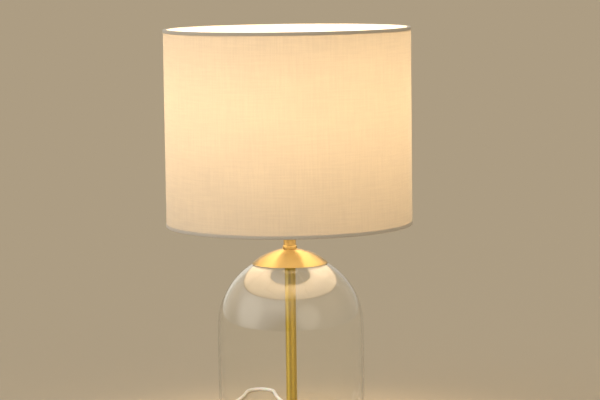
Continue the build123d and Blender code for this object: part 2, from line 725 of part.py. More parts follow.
with BuildPart() as plug_body:
    with BuildSketch():
        with BuildLine():
            Polyline(
                (PLUG_X - 7, plug_shoulder),
                (PLUG_X + 7, plug_shoulder),
                (PLUG_X + PLUG_WIDTH / 2, plug_face - 14),
                (PLUG_X + PLUG_WIDTH / 2, plug_face),
                (PLUG_X - PLUG_WIDTH / 2, plug_face),
                (PLUG_X - PLUG_WIDTH / 2, plug_face - 14),
                close=True,
            )
        make_face()
    extrude(amount=PLUG_THICKNESS)
    fillet(plug_body.edges().filter_by(Axis.Z).sort_by(Axis.Y)[:4], radius=4.0)
    outline = plug_body.edges().group_by(Axis.Z)
    fillet(outline[0] + outline[-1], radius=2.0)
save(plug_body.part, "plug_body")

with BuildPart() as plug_pins:
    with Locations((PLUG_X, plug_face, plug_height)):
        with GridLocations(PIN_SPACING, 0, 2, 1):
            Cylinder(
                PIN_RADIUS,
                PIN_LENGTH,
                rotation=(-90, 0, 0),
                align=(Align.CENTER, Align.CENTER, Align.MIN),
            )
    fillet(plug_pins.edges().group_by(Axis.Y)[-1], radius=1.0)
save(plug_pins.part, "plug_pins")

with BuildPart() as plug_relief:
    with BuildSketch(Plane.XZ.offset(-PLUG_REAR)):
        with Locations((PLUG_X, plug_height)):
            Circle(2.9)
    with BuildSketch(Plane.XZ.offset(-plug_shoulder)):
        with Locations((PLUG_X, plug_height)):
            Circle(5.4)
    loft()
save(plug_relief.part, "plug_relief")

# Flex -----------------------------------------------------------------------------------------

COIL_X = -62.0
COIL_Y = 150.0
COIL_LIFT = 0.7  # the tie's thickness and a little play
COIL_INNER = 20.0  # centreline radii of the innermost and outermost turns
COIL_OUTER = 36.4
COIL_LAYER = 5.2
COIL_ENTRY_ANGLE = 265.0
COIL_LEAD_IN = 24.0
coil_low = COIL_LIFT
coil_high = COIL_LIFT + 2 * FLEX_RADIUS + COIL_LAYER
lower_turns = COIL_LIFT + FLEX_RADIUS
upper_turns = lower_turns + COIL_LAYER
entry_angle = math.radians(COIL_ENTRY_ANGLE)
entry_x = COIL_X + COIL_OUTER * math.cos(entry_angle)
entry_y = COIL_Y + COIL_OUTER * math.sin(entry_angle)
lead_in_x = entry_x + COIL_LEAD_IN * math.sin(entry_angle)
lead_in_y = entry_y - COIL_LEAD_IN * math.cos(entry_angle)
exit_x = COIL_X + COIL_OUTER

TO_SWITCH = [
    (0, RELIEF_END, FLEX_EXIT_HEIGHT),
    (0, 143, FLEX_EXIT_HEIGHT),
    (2, 168, 3.6),
    (7, 206, FLEX_ON_FLOOR),
    (6, 250, FLEX_ON_FLOOR),
    (-9, 294, FLEX_ON_FLOOR),
    (-21, 334, FLEX_ON_FLOOR),
    (-27, 370, FLEX_ON_FLOOR),
    (-30, 398, FLEX_ON_FLOOR),
    (-52, 411, FLEX_ON_FLOOR),
    (-74, 398, FLEX_ON_FLOOR),
    (-77, 368, FLEX_ON_FLOOR),
    (-86, 334, FLEX_ON_FLOOR),
    (-101, 302, FLEX_ON_FLOOR),
    (-118, 276, 3.4),
    (SWITCH_X, 252, ENTRY_HEIGHT),
    (SWITCH_X, switch_rear, ENTRY_HEIGHT),
]
TO_COIL = [
    (SWITCH_X, switch_front, ENTRY_HEIGHT),
    (SWITCH_X, 152, ENTRY_HEIGHT),
    (-117.5, 136, 5.8),
    (-107, 124, 4.4),
    (lead_in_x, lead_in_y, lower_turns),
    (entry_x, entry_y, lower_turns),
]
TO_PLUG = [
    (exit_x, COIL_Y + 8, upper_turns),
    (exit_x, 172, upper_turns),
    (PLUG_X, 189, plug_height),
    (PLUG_X, PLUG_REAR, plug_height),
]


def bend_radii(points):
    """For each corner, the largest arc that its two runs allow."""
    radii = []
    for before, corner, after in zip(points, points[1:], points[2:]):
        arriving = Vector(*corner) - Vector(*before)
        leaving = Vector(*after) - Vector(*corner)
        half_turn = math.radians(arriving.get_angle(leaving) / 2)
        radii.append(0.45 * min(arriving.length, leaving.length) / math.tan(half_turn))
    return radii


def flex(points):
    """A stretch of flex along straight runs joined by tangent arcs."""
    radii = bend_radii(points)
    with BuildPart() as made:
        with BuildLine() as path:
            FilletPolyline(*points, radius=radii)
        route = path.wire()
        with BuildSketch(Plane(route @ 0, z_dir=route % 0)):
            Circle(FLEX_RADIUS)
        sweep(path=route)
    expected = route.length * math.pi * FLEX_RADIUS**2
    print(
        f"flex: {route.length:.0f} mm long, arc radii {[round(radius) for radius in radii]},",
        f"volume {made.part.volume / expected:.4f} of section times length",
    )
    return made.part


with BuildPart() as flex_coil:
    with BuildSketch(Plane.XZ):
        with Locations(((COIL_INNER + COIL_OUTER) / 2, (coil_low + coil_high) / 2)):
            RectangleRounded(
                COIL_OUTER - COIL_INNER + 2 * FLEX_RADIUS, coil_high - coil_low, FLEX_RADIUS
            )
    revolve(axis=Axis.Z)
coil_block = flex_coil.part.moved(Location((COIL_X, COIL_Y, 0)))
save(coil_block, "flex_coil")

save(flex(TO_SWITCH), "flex_to_switch")

with BuildPart() as flex_to_coil:
    add(flex(TO_COIL))
    add(coil_block, mode=Mode.SUBTRACT)
save(flex_to_coil.part, "flex_to_coil")

with BuildPart() as flex_to_plug:
    add(flex(TO_PLUG))
    add(coil_block, mode=Mode.SUBTRACT)
save(flex_to_plug.part, "flex_to_plug")

TIE_ANGLE = 120.0
TIE_WIDTH = 6.0
TIE_THICKNESS = 0.6

with BuildPart() as coil_tie:
    tie_plane = Plane.XZ.rotated((0, 0, TIE_ANGLE))
    tie_plane.origin = (COIL_X, COIL_Y, 0)
    bundle_width = COIL_OUTER - COIL_INNER + 2 * FLEX_RADIUS
    bundle_height = coil_high - coil_low
    with BuildSketch(tie_plane):
        with Locations(((COIL_INNER + COIL_OUTER) / 2, (coil_low + coil_high) / 2)):
            RectangleRounded(
                bundle_width + 0.8 + 2 * TIE_THICKNESS,
                bundle_height + 0.2 + 2 * TIE_THICKNESS,
                FLEX_RADIUS + TIE_THICKNESS,
            )
            RectangleRounded(
                bundle_width + 0.8, bundle_height + 0.2, FLEX_RADIUS, mode=Mode.SUBTRACT
            )
    extrude(amount=TIE_WIDTH / 2, both=True)
save(coil_tie.part, "coil_tie")
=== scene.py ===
"""Looks of the table lamp: turned brass, glass cloche, lit drum shade, bulb, switch, plug and flex.

Metres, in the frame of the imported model. Each piece rides on the body of the part that it stands for.
"""

import json
import math

import bmesh
import bpy
from mathutils import Matrix, Vector

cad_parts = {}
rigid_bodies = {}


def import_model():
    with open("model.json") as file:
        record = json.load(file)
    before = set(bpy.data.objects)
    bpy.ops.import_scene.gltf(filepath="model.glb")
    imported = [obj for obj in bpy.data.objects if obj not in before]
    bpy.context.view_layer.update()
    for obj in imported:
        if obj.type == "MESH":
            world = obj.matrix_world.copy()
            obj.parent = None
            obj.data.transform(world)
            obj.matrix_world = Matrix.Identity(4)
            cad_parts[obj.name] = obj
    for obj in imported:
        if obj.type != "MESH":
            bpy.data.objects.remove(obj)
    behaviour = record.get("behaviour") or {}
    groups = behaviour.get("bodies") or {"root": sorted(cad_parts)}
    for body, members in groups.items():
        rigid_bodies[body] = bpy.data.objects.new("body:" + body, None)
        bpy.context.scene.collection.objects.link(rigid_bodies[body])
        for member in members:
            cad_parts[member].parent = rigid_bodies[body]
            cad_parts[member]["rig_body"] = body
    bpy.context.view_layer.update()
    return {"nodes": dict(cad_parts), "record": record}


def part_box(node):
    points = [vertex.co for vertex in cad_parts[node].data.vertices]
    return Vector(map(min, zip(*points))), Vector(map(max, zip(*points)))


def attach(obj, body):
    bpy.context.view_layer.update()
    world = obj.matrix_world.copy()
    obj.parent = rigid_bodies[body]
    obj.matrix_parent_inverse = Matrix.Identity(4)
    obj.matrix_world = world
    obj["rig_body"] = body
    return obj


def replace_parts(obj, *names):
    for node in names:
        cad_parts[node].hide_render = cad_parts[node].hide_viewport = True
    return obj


MM = 0.001
ON_AXIS = 1e-6
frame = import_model()
nodes = frame["nodes"]

# Profiles and meshes ----------------------------------------------------------------------------


def fine_corners(points, steps=5):
    """Rounds a closed outline's corners. A point is (x, y), or (x, y, radius) where it is rounded."""
    outline = []
    count = len(points)
    for index, point in enumerate(points):
        here = Vector(point[:2])
        radius = point[2] if len(point) > 2 else 0.0
        if radius <= 0:
            outline.append(here)
            continue
        back = Vector(points[index - 1][:2]) - here
        ahead = Vector(points[(index + 1) % count][:2]) - here
        half = back.angle(ahead) / 2
        cut = min(radius / math.tan(half), 0.49 * back.length, 0.49 * ahead.length)
        bend = cut * math.tan(half)
        back.normalize()
        ahead.normalize()
        centre = here + (back + ahead).normalized() * (bend / math.sin(half))
        start = here + back * cut - centre
        end = here + ahead * cut - centre
        turn = start.angle_signed(end)
        for step in range(steps + 1):
            spin = Matrix.Rotation(-turn * step / steps, 2)
            outline.append(centre + spin @ start)
    return [(p.x, p.y) for p in outline]


def mm(points):
    """Millimetres to metres."""
    return [(x * MM, y * MM) for x, y in points]


def arc(centre_x, centre_y, radius, start, end, steps):
    """Points along a circle's arc, with its angles in degrees from the x axis."""
    angles = [math.radians(start + (end - start) * i / steps) for i in range(steps + 1)]
    return [(centre_x + radius * math.cos(a), centre_y + radius * math.sin(a)) for a in angles]


def swing(start, end, radius, steps=20, side=1):
    """Points on the arc of this radius from start to end. It turns left, or right where side is -1."""
    first, last = Vector(start), Vector(end)
    half = (last - first) / 2
    across = Vector((-half.y, half.x)).normalized() * side
    centre = first + half + across * math.sqrt(radius**2 - half.length_squared)
    spoke = first - centre
    whole = 2 * math.asin(half.length / radius) * side
    begin = math.atan2(spoke.y, spoke.x)
    angles = [begin + whole * i / steps for i in range(steps + 1)]
    return [(centre.x + radius * math.cos(a), centre.y + radius * math.sin(a)) for a in angles]


def new_piece(name, mesh, body, material, sharp=35):
    """Wraps a mesh as a smooth-shaded piece that rides on a body."""
    mesh.validate()
    mesh.materials.append(material)
    for face in mesh.polygons:
        face.use_smooth = True
    mesh.set_sharp_from_angle(angle=math.radians(sharp))
    piece = bpy.data.objects.new(name, mesh)
    bpy.context.scene.collection.objects.link(piece)
    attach(piece, body)
    return piece


def mesh_of(bm, name):
    """Turns an edit mesh into a mesh with its faces pointing outwards."""
    bmesh.ops.recalc_face_normals(bm, faces=bm.faces)
    mesh = bpy.data.meshes.new(name)
    bm.to_mesh(mesh)
    bm.free()
    return mesh


def held(outline, long=10 * MM, near=0.15 * MM):
    """Adds a point near both ends of each long run, so that smooth shading leaves the run straight."""
    points = []
    for here, ahead in zip(outline, outline[1:] + outline[:1]):
        points.append(here)
        start, end = Vector(here), Vector(ahead)
        if (end - start).length > long:
            step = (end - start).normalized() * near
            points += [tuple(start + step), tuple(end - step)]
    return points


def turned(name, outline, segments=128, place=None, reach=None):
    """A mesh of a closed (radius, height) outline spun about Z. Points on the axis become one.

    reach gives a point's radius from its radius, height and angle. place moves the finished mesh.
    """
    bm = bmesh.new()
    rings = []
    outline = held(outline)
    for radius, height in outline:
        if radius < ON_AXIS:
            rings.append([bm.verts.new((0, 0, height))])
            continue
        ring = []
        for step in range(segments):
            angle = 2 * math.pi * step / segments
            far = radius if reach is None else reach(radius, height, angle)
            ring.append(bm.verts.new((far * math.cos(angle), far * math.sin(angle), height)))
        rings.append(ring)
    for ring, following in zip(rings, rings[1:] + rings[:1]):
        for step in range(segments):
            after = (step + 1) % segments
            corners = [
                ring[step % len(ring)],
                ring[after % len(ring)],
                following[after % len(following)],
                following[step % len(following)],
            ]
            corners = list(dict.fromkeys(corners))
            if len(corners) > 2:
                bm.faces.new(corners)
    if place is not None:
        bmesh.ops.transform(bm, matrix=place, verts=bm.verts)
    return mesh_of(bm, name)


def lathe(name, stands_for, outline, slot, material, **options):
    """A turned piece in place of the CAD node that it stands for, on the same body."""
    mesh = turned(name, outline, **options)
    piece = new_piece(name, mesh, nodes[stands_for]["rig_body"], material)
    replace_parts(piece, stands_for)
    return piece


# Materials --------------------------------------------------------------------------------------


class Maker:
    """Builds a node material round one Principled shader."""

    def __init__(self, name, colour, roughness, metallic=0.0, **plain):
        self.material = bpy.data.materials.new(name)
        self.material.use_nodes = True
        self.tree = self.material.node_tree
        self.shader = self.tree.nodes["Principled BSDF"]
        self.output = self.tree.nodes["Material Output"]
        self.colour = colour
        self.put("Base Color", (*colour, 1))
        self.put("Roughness", roughness)
        self.put("Metallic", metallic)
        for socket, value in plain.items():
            self.put(socket.replace("_", " "), value)

    def put(self, socket, value):
        self.shader.inputs[socket].default_value = value

    def node(self, kind, **settings):
        made = self.tree.nodes.new(kind)
        for key, value in settings.items():
            setattr(made, key, value)
        return made

    def link(self, source, target):
        self.tree.links.new(source, target)

    def place(self, scale=(1, 1, 1)):
        """Object coordinates in metres, scaled along each axis."""
        coordinates = self.node("ShaderNodeTexCoord")
        mapping = self.node("ShaderNodeMapping")
        mapping.inputs["Scale"].default_value = scale
        self.link(coordinates.outputs["Object"], mapping.inputs["Vector"])
        return mapping.outputs["Vector"]

    def round_place(self, around, up, out=1.0):
        """Coordinates (angle times around, height times up, distance times out) about the Z axis."""
        coordinates = self.node("ShaderNodeTexCoord")
        apart = self.node("ShaderNodeSeparateXYZ")
        self.link(coordinates.outputs["Object"], apart.inputs[0])
        angle = self.maths("ARCTAN2", apart.outputs["Y"], apart.outputs["X"])
        flat = self.node("ShaderNodeVectorMath", operation="MULTIPLY")
        flat.inputs[1].default_value = (1, 1, 0)
        self.link(coordinates.outputs["Object"], flat.inputs[0])
        distance = self.node("ShaderNodeVectorMath", operation="LENGTH")
        self.link(flat.outputs["Vector"], distance.inputs[0])
        joined = self.node("ShaderNodeCombineXYZ")
        self.link(self.maths("MULTIPLY", angle, around), joined.inputs["X"])
        self.link(self.maths("MULTIPLY", apart.outputs["Z"], up), joined.inputs["Y"])
        self.link(self.maths("MULTIPLY", distance.outputs["Value"], out), joined.inputs["Z"])
        return joined.outputs[0]

    def maths(self, operation, *values):
        """The operation's result. Each value is a number or another node's output."""
        made = self.node("ShaderNodeMath", operation=operation)
        for socket, value in zip(made.inputs, values):
            if isinstance(value, (int, float)):
                socket.default_value = value
            else:
                self.link(value, socket)
        return made.outputs[0]

    def mixed(self, first, share, second):
        """The share of the first value plus the rest of the second."""
        rest = self.maths("MULTIPLY", second, 1 - share)
        return self.maths("ADD", self.maths("MULTIPLY", first, share), rest)

    def noise(self, place, scale, detail, roughness=0.5):
        """Smooth noise between 0 and 1."""
        made = self.node("ShaderNodeTexNoise")
        made.inputs["Scale"].default_value = scale
        made.inputs["Detail"].default_value = detail
        made.inputs["Roughness"].default_value = roughness
        self.link(place, made.inputs["Vector"])
        return made.outputs["Fac"]

    def spread(self, value, low, high):
        """Maps a 0 to 1 value to low to high."""
        made = self.node("ShaderNodeMapRange")
        made.inputs["To Min"].default_value = low
        made.inputs["To Max"].default_value = high
        self.link(value, made.inputs["Value"])
        return made.outputs["Result"]

    def tint(self, value, low, high, colour=None):
        """A colour between low and high times the given colour, or else the base colour."""
        colour = colour or self.colour
        ramp = self.node("ShaderNodeMix", data_type="RGBA")
        ramp.inputs[6].default_value = (*[c * low for c in colour], 1)
        ramp.inputs[7].default_value = (*[min(c * high, 1) for c in colour], 1)
        self.link(value, ramp.inputs[0])
        return ramp.outputs[2]

    def bump(self, height, depth, strength):
        """A normal that follows this height, where 1 is the depth in metres."""
        made = self.node("ShaderNodeBump")
        made.inputs["Strength"].default_value = strength
        made.inputs["Distance"].default_value = depth
        self.link(height, made.inputs["Height"])
        return made.outputs["Normal"]

    def drive(self, socket, source):
        self.link(source, self.shader.inputs[socket])

    def blend(self, other, share):
        """Gives the surface this share of another shader. The share is a number or a node's output."""
        mix = self.node("ShaderNodeMixShader")
        if isinstance(share, float):
            mix.inputs[0].default_value = share
        else:
            self.link(share, mix.inputs[0])
        self.link(self.shader.outputs[0], mix.inputs[1])
        self.link(other.outputs[0], mix.inputs[2])
        self.link(mix.outputs[0], self.output.inputs["Surface"])


def brass(name, colour, around, up, out, roughness):
    """Lacquered brass with fine brush lines. The three scales say which way the lines run."""
    maker = Maker(name, colour, roughness, metallic=1.0, Anisotropic=1.0, Anisotropic_Rotation=0.25)
    lines = maker.noise(maker.round_place(around, up, out), scale=1.0, detail=4, roughness=0.6)
    patches = maker.noise(maker.place(), scale=26, detail=2)
    wear = maker.mixed(lines, 0.7, patches)
    maker.drive("Base Color", maker.tint(wear, low=0.86, high=1.12))
    maker.drive("Roughness", maker.spread(wear, low=roughness - 0.07, high=roughness + 0.09))
    maker.drive("Normal", maker.bump(lines, depth=0.00001, strength=0.2))
    return maker.material


def steel(name, colour, roughness):
    """Plated or rolled metal with faint drawing marks."""
    maker = Maker(name, colour, roughness, metallic=1.0)
    marks = maker.noise(maker.place((1, 1, 0.1)), scale=900, detail=3)
    maker.drive("Base Color", maker.tint(marks, low=0.85, high=1.1))
    maker.drive("Roughness", maker.spread(marks, low=roughness - 0.06, high=roughness + 0.08))
    return maker.material


def moulded(name, colour, roughness=0.35, grain=1500, **plain):
    """Moulded plastic: a fine spark-eroded grain and a little unevenness in its colour."""
    maker = Maker(name, colour, roughness, **plain)
    place = maker.place()
    fine = maker.noise(place, scale=grain, detail=2)
    broad = maker.noise(place, scale=45, detail=2)
    maker.drive("Base Color", maker.tint(broad, low=0.95, high=1.04))
    maker.drive("Roughness", maker.spread(broad, low=roughness - 0.05, high=roughness + 0.07))
    maker.drive("Normal", maker.bump(fine, depth=0.00002, strength=0.5))
    return maker.material


def glass(name):
    """Clear blown glass. Lamps shine through it unbent, so that what stands inside it is lit."""
    maker = Maker(name, (0.995, 0.995, 0.985), roughness=0.0, IOR=1.52, Transmission_Weight=1.0)
    ripple = maker.noise(maker.place((1, 1, 0.35)), scale=22, detail=1)
    maker.drive("Normal", maker.bump(ripple, depth=0.0004, strength=0.12))
    clear = maker.node("ShaderNodeBsdfTransparent")
    clear.inputs["Color"].default_value = (0.97, 0.98, 0.975, 1)
    light_path = maker.node("ShaderNodeLightPath")
    maker.blend(clear, light_path.outputs["Is Shadow Ray"])
    return maker.material


YARN_PITCH = 0.00055
SLUB_WIDTHS = 520
SLUB_LENGTHS_UP = 24
SLUB_LENGTHS_ROUND = 28


def woven(name, colour, radius, share=0.0, lit=None):
    """Plain-woven cotton on a drum of this radius. It lets a share of light through, tinted by lit."""
    maker = Maker(name, colour, roughness=0.85, Sheen_Weight=0.25, Sheen_Roughness=0.5)
    turns = math.pi / YARN_PITCH
    crossing = maker.node("ShaderNodeSeparateXYZ")
    maker.link(maker.round_place(radius * turns, turns), crossing.inputs[0])
    warp = maker.maths("SINE", crossing.outputs["X"])
    weft = maker.maths("SINE", crossing.outputs["Y"])
    weave = maker.spread(maker.maths("MULTIPLY", warp, weft), 0.0, 1.0)
    up_place = maker.round_place(radius * SLUB_WIDTHS, SLUB_LENGTHS_UP)
    across_place = maker.round_place(radius * SLUB_LENGTHS_ROUND, SLUB_WIDTHS)
    slubs_up = maker.noise(up_place, scale=1.0, detail=3, roughness=0.6)
    slubs_across = maker.noise(across_place, scale=1.0, detail=3, roughness=0.6)
    slubs = maker.maths("MULTIPLY", maker.maths("ADD", slubs_up, slubs_across), 0.5)
    yarns = maker.mixed(weave, 0.35, slubs)
    maker.drive("Base Color", maker.tint(yarns, low=0.80, high=1.14))
    maker.drive("Normal", maker.bump(yarns, depth=0.00025, strength=0.7))
    if share:
        through = maker.node("ShaderNodeBsdfTranslucent")
        slub_contrast = maker.spread(slubs, low=-1.6, high=2.6)
        maker.link(maker.tint(slub_contrast, low=1.0, high=0.76, colour=lit), through.inputs["Color"])
        maker.blend(through, share)
    return maker.material


def liner(name, share):
    """The shade's white styrene liner: smooth, slightly satin, and lets light through."""
    maker = Maker(name, (0.96, 0.945, 0.915), roughness=0.5)
    mottle = maker.noise(maker.place(), scale=60, detail=2)
    maker.drive("Base Color", maker.tint(mottle, low=0.96, high=1.03))
    through = maker.node("ShaderNodeBsdfTranslucent")
    through.inputs["Color"].default_value = (0.97, 0.93, 0.86, 1)
    maker.blend(through, share)
    return maker.material


def opal(name, colour, strength):
    """The bulb's frosted globe, lit from inside and dimmer towards its neck."""
    maker = Maker(name, (0.95, 0.94, 0.92), roughness=0.35)
    maker.put("Emission Color", (*colour, 1))
    apart = maker.node("ShaderNodeSeparateXYZ")
    maker.link(maker.place(), apart.inputs[0])
    low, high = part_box("bulb_globe")
    rise = maker.node("ShaderNodeMapRange")
    rise.inputs["From Min"].default_value = low.z
    rise.inputs["From Max"].default_value = high.z
    rise.inputs["To Min"].default_value = 0.45 * strength
    rise.inputs["To Max"].default_value = strength
    maker.link(apart.outputs["Z"], rise.inputs["Value"])
    maker.drive("Emission Strength", rise.outputs["Result"])
    return maker.material


def felted(name, colour):
    """Pressed wool."""
    maker = Maker(name, colour, roughness=0.95, Sheen_Weight=0.5)
    fuzz = maker.noise(maker.place(), scale=1800, detail=4, roughness=0.7)
    maker.drive("Base Color", maker.tint(fuzz, low=0.6, high=1.5))
    maker.drive("Normal", maker.bump(fuzz, depth=0.0004, strength=0.8))
    return maker.material


def cast(name, colour):
    """Sand-cast iron under a thin black primer."""
    maker = Maker(name, colour, roughness=0.6, metallic=0.4)
    sand = maker.noise(maker.place(), scale=700, detail=4, roughness=0.65)
    maker.drive("Base Color", maker.tint(sand, low=0.6, high=1.5))
    maker.drive("Normal", maker.bump(sand, depth=0.0005, strength=0.6))
    return maker.material


def flexible(name, colour):
    """Milky PVC sheath, through which the cores' lay shows as a faint pattern."""
    maker = Maker(name, colour, roughness=0.28, Subsurface_Weight=0.25, Subsurface_Scale=0.002)
    lay = maker.noise(maker.place(), scale=120, detail=2)
    maker.drive("Base Color", maker.tint(lay, low=0.88, high=1.08))
    grain = maker.noise(maker.place(), scale=900, detail=2)
    maker.drive("Normal", maker.bump(grain, depth=0.00005, strength=0.4))
    return maker.material


SHADE_RADIUS = 0.150
LIGHT_THROUGH = 0.31

LINES_UP = {"around": 45.0, "up": 30.0, "out": 1.0}
LINES_ROUND = {"around": 2.0, "up": 2200.0, "out": 2200.0}
brass_column = brass("brushed_brass_column", (0.75, 0.55, 0.10), roughness=0.30, **LINES_UP)
# The turned pieces' brass has a darker colour than the column's brass. This is painted shade, so that
# its reflections of the lit inside of the shade come out less bright.
turned_brass_shaded = brass("brushed_brass_turned_painted_shade", (0.52, 0.39, 0.165), roughness=0.42, **LINES_ROUND)
steel_plated = steel("zinc_plate", (0.62, 0.62, 0.60), 0.32)
nickel = steel("nickel_plate", (0.72, 0.69, 0.63), 0.22)
contact_brass = steel("contact_brass", (0.76, 0.60, 0.32), 0.3)
cloche_glass = glass("cloche_glass")
fabric = woven("shade_cotton", (0.60, 0.575, 0.53), SHADE_RADIUS, LIGHT_THROUGH, (0.98, 0.88, 0.70))
tape = woven("shade_tape_cotton", (0.62, 0.56, 0.47), SHADE_RADIUS)
liner_white = liner("shade_styrene", LIGHT_THROUGH)
powder_white = moulded("white_powder_coat", (0.86, 0.85, 0.82), 0.4, 900)
holder_white = moulded("holder_plastic", (0.84, 0.83, 0.79), 0.4)
glazed = moulded("steatite", (0.86, 0.85, 0.81), 0.2, 400)
silicone = moulded("silicone", (0.80, 0.81, 0.79), 0.35, 600, Transmission_Weight=0.3)
black_paint = moulded("black_paint", (0.02, 0.02, 0.02), 0.5)
black_glass = moulded("black_vitrite", (0.012, 0.012, 0.015), 0.12, 300)
bulb_white = moulded("bulb_plastic", (0.88, 0.88, 0.86), 0.4)
board_white = moulded("solder_mask", (0.88, 0.88, 0.86), 0.3)
opal_lit = opal("opal_globe", (1.0, 0.84, 0.62), 1.6)
felt_dark = felted("wool_felt", (0.045, 0.04, 0.035))
iron = cast("cast_iron", (0.05, 0.05, 0.05))
sheath = flexible("clear_sheath", (0.90, 0.89, 0.86))
core_brown = flexible("brown_core", (0.16, 0.07, 0.03))
core_blue = flexible("blue_core", (0.03, 0.12, 0.42))
moulded_white = moulded("moulded_white", (0.85, 0.84, 0.80), 0.3)
tie_white = moulded("tie_plastic", (0.80, 0.79, 0.75), 0.45)

MATERIAL_OF_SLOT = {
    "brushed_brass": turned_brass_shaded,
    "cast_weight": iron,
    "black_cover": black_paint,
    "felt": felt_dark,
    "plated_steel": steel_plated,
    "clear_silicone": silicone,
    "clear_glass": cloche_glass,
    "white_holder": holder_white,
    "ceramic": glazed,
    "nickel_shell": nickel,
    "contact_brass": contact_brass,
    "white_wire": powder_white,
    "shade_tape": tape,
    "shade_fabric": fabric,
    "shade_liner": liner_white,
    "black_glass": black_glass,
    "bulb_plastic": bulb_white,
    "led_board": board_white,
    "opal_globe": opal_lit,
    "brown_pvc": core_brown,
    "blue_pvc": core_blue,
    "clear_flex": sheath,
    "white_plug": moulded_white,
    "tie_plastic": tie_white,
}
for part in frame["record"]["subparts"]:
    target = nodes[part["node"]]
    target.data.materials.clear()
    target.data.materials.append(MATERIAL_OF_SLOT[part["material_slot"]])

# Base and column ----------------------------------------------------------------------------------

# Profiles are in millimetres, as (radius, height) and, where a corner is rounded, its radius.
BASE_TOP = 26.0
ROD_HOLE = 5.1
base_outline = [
    (96.0, 1.2, 0.5),
    (96.0, BASE_TOP, 2.2),
    (91.5, BASE_TOP, 0.7),
    (91.5, 22.0, 0.3),
    (84.5, 22.0, 0.3),
    (84.5, BASE_TOP, 0.7),
    (ROD_HOLE, BASE_TOP),
    (ROD_HOLE, 24.5),
    (83.0, 24.5),
    (83.0, 20.5),
    (93.0, 20.5),
    (93.0, 24.5),
    (94.5, 24.5),
    (94.5, 1.2),
]
base_fine = mm(fine_corners(base_outline, steps=7))
lathe("base", "base_shell", base_fine, "brushed_brass", turned_brass_shaded, segments=256)
foot_outline = [(0, 0), (89.0, 0, 0.5), (89.5, 1.5), (0, 1.5)]
lathe("felt_pad", "felt_foot", mm(fine_corners(foot_outline)), "felt", felt_dark, segments=192)
tube_outline = [(6.7, BASE_TOP), (6.7, 242.7), (5.5, 242.7), (5.5, BASE_TOP)]
lathe("column", "column_tube", mm(tube_outline), "brushed_brass", brass_column, segments=128)
escutcheon = [(6.8, BASE_TOP), (13.0, BASE_TOP), (13.0, 28.0, 0.8), (9.0, 31.0, 0.8), (6.8, 31.0)]
escutcheon_fine = mm(fine_corners(escutcheon, steps=6))
lathe("column_flange", "column_foot", escutcheon_fine, "brushed_brass", turned_brass_shaded)

# Glass ----------------------------------------------------------------------------------------------

GLASS_RADIUS = 89.5
GLASS_WALL = 3.0
DOME_CENTRE = 160.3
HOLE_RADIUS = 8.0
RIM_LOW = 23.0
RIM_ARC_CENTRE = 24.2
RIM_ARC_LOW = 22.7
RIM_FLATTENING = 0.8
outer_end = math.degrees(math.acos(HOLE_RADIUS / GLASS_RADIUS))
inner_end = math.degrees(math.acos(HOLE_RADIUS / (GLASS_RADIUS - GLASS_WALL)))
rim = arc(GLASS_RADIUS - GLASS_WALL / 2, RIM_ARC_CENTRE, GLASS_WALL / 2, -180, 0, 12)
rim = [(x, RIM_LOW + (y - RIM_ARC_LOW) * RIM_FLATTENING) for x, y in rim]
glass_outline = rim + arc(0, DOME_CENTRE, GLASS_RADIUS, 0, outer_end, 60)
glass_outline += arc(0, DOME_CENTRE, GLASS_RADIUS - GLASS_WALL, inner_end, 0, 60)
lathe("cloche", "glass_cloche", mm(glass_outline), "clear_glass", cloche_glass, segments=256)

# Cap, collar and lampholder --------------------------------------------------------------------------

CAP_RADIUS = 71.0
CAP_CENTRE = 184.3
CAP_SEAT = 254.65
CAP_RIM = 46.9
CAP_WALL = 1
COLLAR_TOP = 259.9
CUP_RIM = 293.0
rim_angle = math.degrees(math.acos(CAP_RIM / CAP_RADIUS))
seat_angle = math.degrees(math.asin((CAP_SEAT - CAP_CENTRE) / CAP_RADIUS))
rim_height = CAP_CENTRE + CAP_RADIUS * math.sin(math.radians(rim_angle))
inside_rim = math.degrees(math.asin((rim_height - CAP_CENTRE) / (CAP_RADIUS - CAP_WALL)))
inside_seat = math.degrees(math.asin((CAP_SEAT - CAP_WALL - CAP_CENTRE) / (CAP_RADIUS - CAP_WALL)))
cap_outline = arc(0, CAP_CENTRE, CAP_RADIUS, rim_angle + 0.35, seat_angle, 48)
cap_outline += [(ROD_HOLE, CAP_SEAT), (ROD_HOLE, CAP_SEAT - CAP_WALL)]
cap_outline += arc(0, CAP_CENTRE, CAP_RADIUS - CAP_WALL, inside_seat, inside_rim, 40)
cap_outline += [(46.35, rim_height), (46.75, rim_height + 0.1)]
lathe("brass_cap", "dome_cap", mm(cap_outline), "brushed_brass", turned_brass_shaded, segments=256)
collar_outline = [(ROD_HOLE, CAP_SEAT), (8.9, CAP_SEAT, 1.6)]
collar_outline += [(8.9, COLLAR_TOP, 1.6), (ROD_HOLE, COLLAR_TOP)]
collar_fine = mm(fine_corners(collar_outline, steps=8))
lathe("collar", "collar_nut", collar_fine, "brushed_brass", turned_brass_shaded)

cup_outline = [(7.7, COLLAR_TOP)] + swing((7.7, 268.5), (19.2, 283.0), 18)
cup_outline += [(19.2, 292.6), (18.9, CUP_RIM), (18.0, CUP_RIM)]
cup_outline += swing((18.0, 283.4), (7.7, 270.3), 18, side=-1)
cup_outline += [(ROD_HOLE, 270.3), (ROD_HOLE, COLLAR_TOP)]
lathe("holder_cup_spun", "holder_cup", mm(cup_outline), "brushed_brass", turned_brass_shaded)

THREAD_FADE = 1.5
SAME_RADIUS = 1e-7


def threaded(low, high, depth, pitch, outside):
    """A reach for turned() that cuts a rounded thread into the outer wall between two heights."""

    def reach(radius, height, angle):
        if radius < outside * MM - SAME_RADIUS or not low * MM < height < high * MM:
            return radius
        phase = 2 * math.pi * height / (pitch * MM) - angle
        fade = min(1.0, (height / MM - low) / THREAD_FADE, (high - height / MM) / THREAD_FADE)
        return radius - depth * MM * fade * (0.5 - 0.5 * math.cos(phase))

    return reach


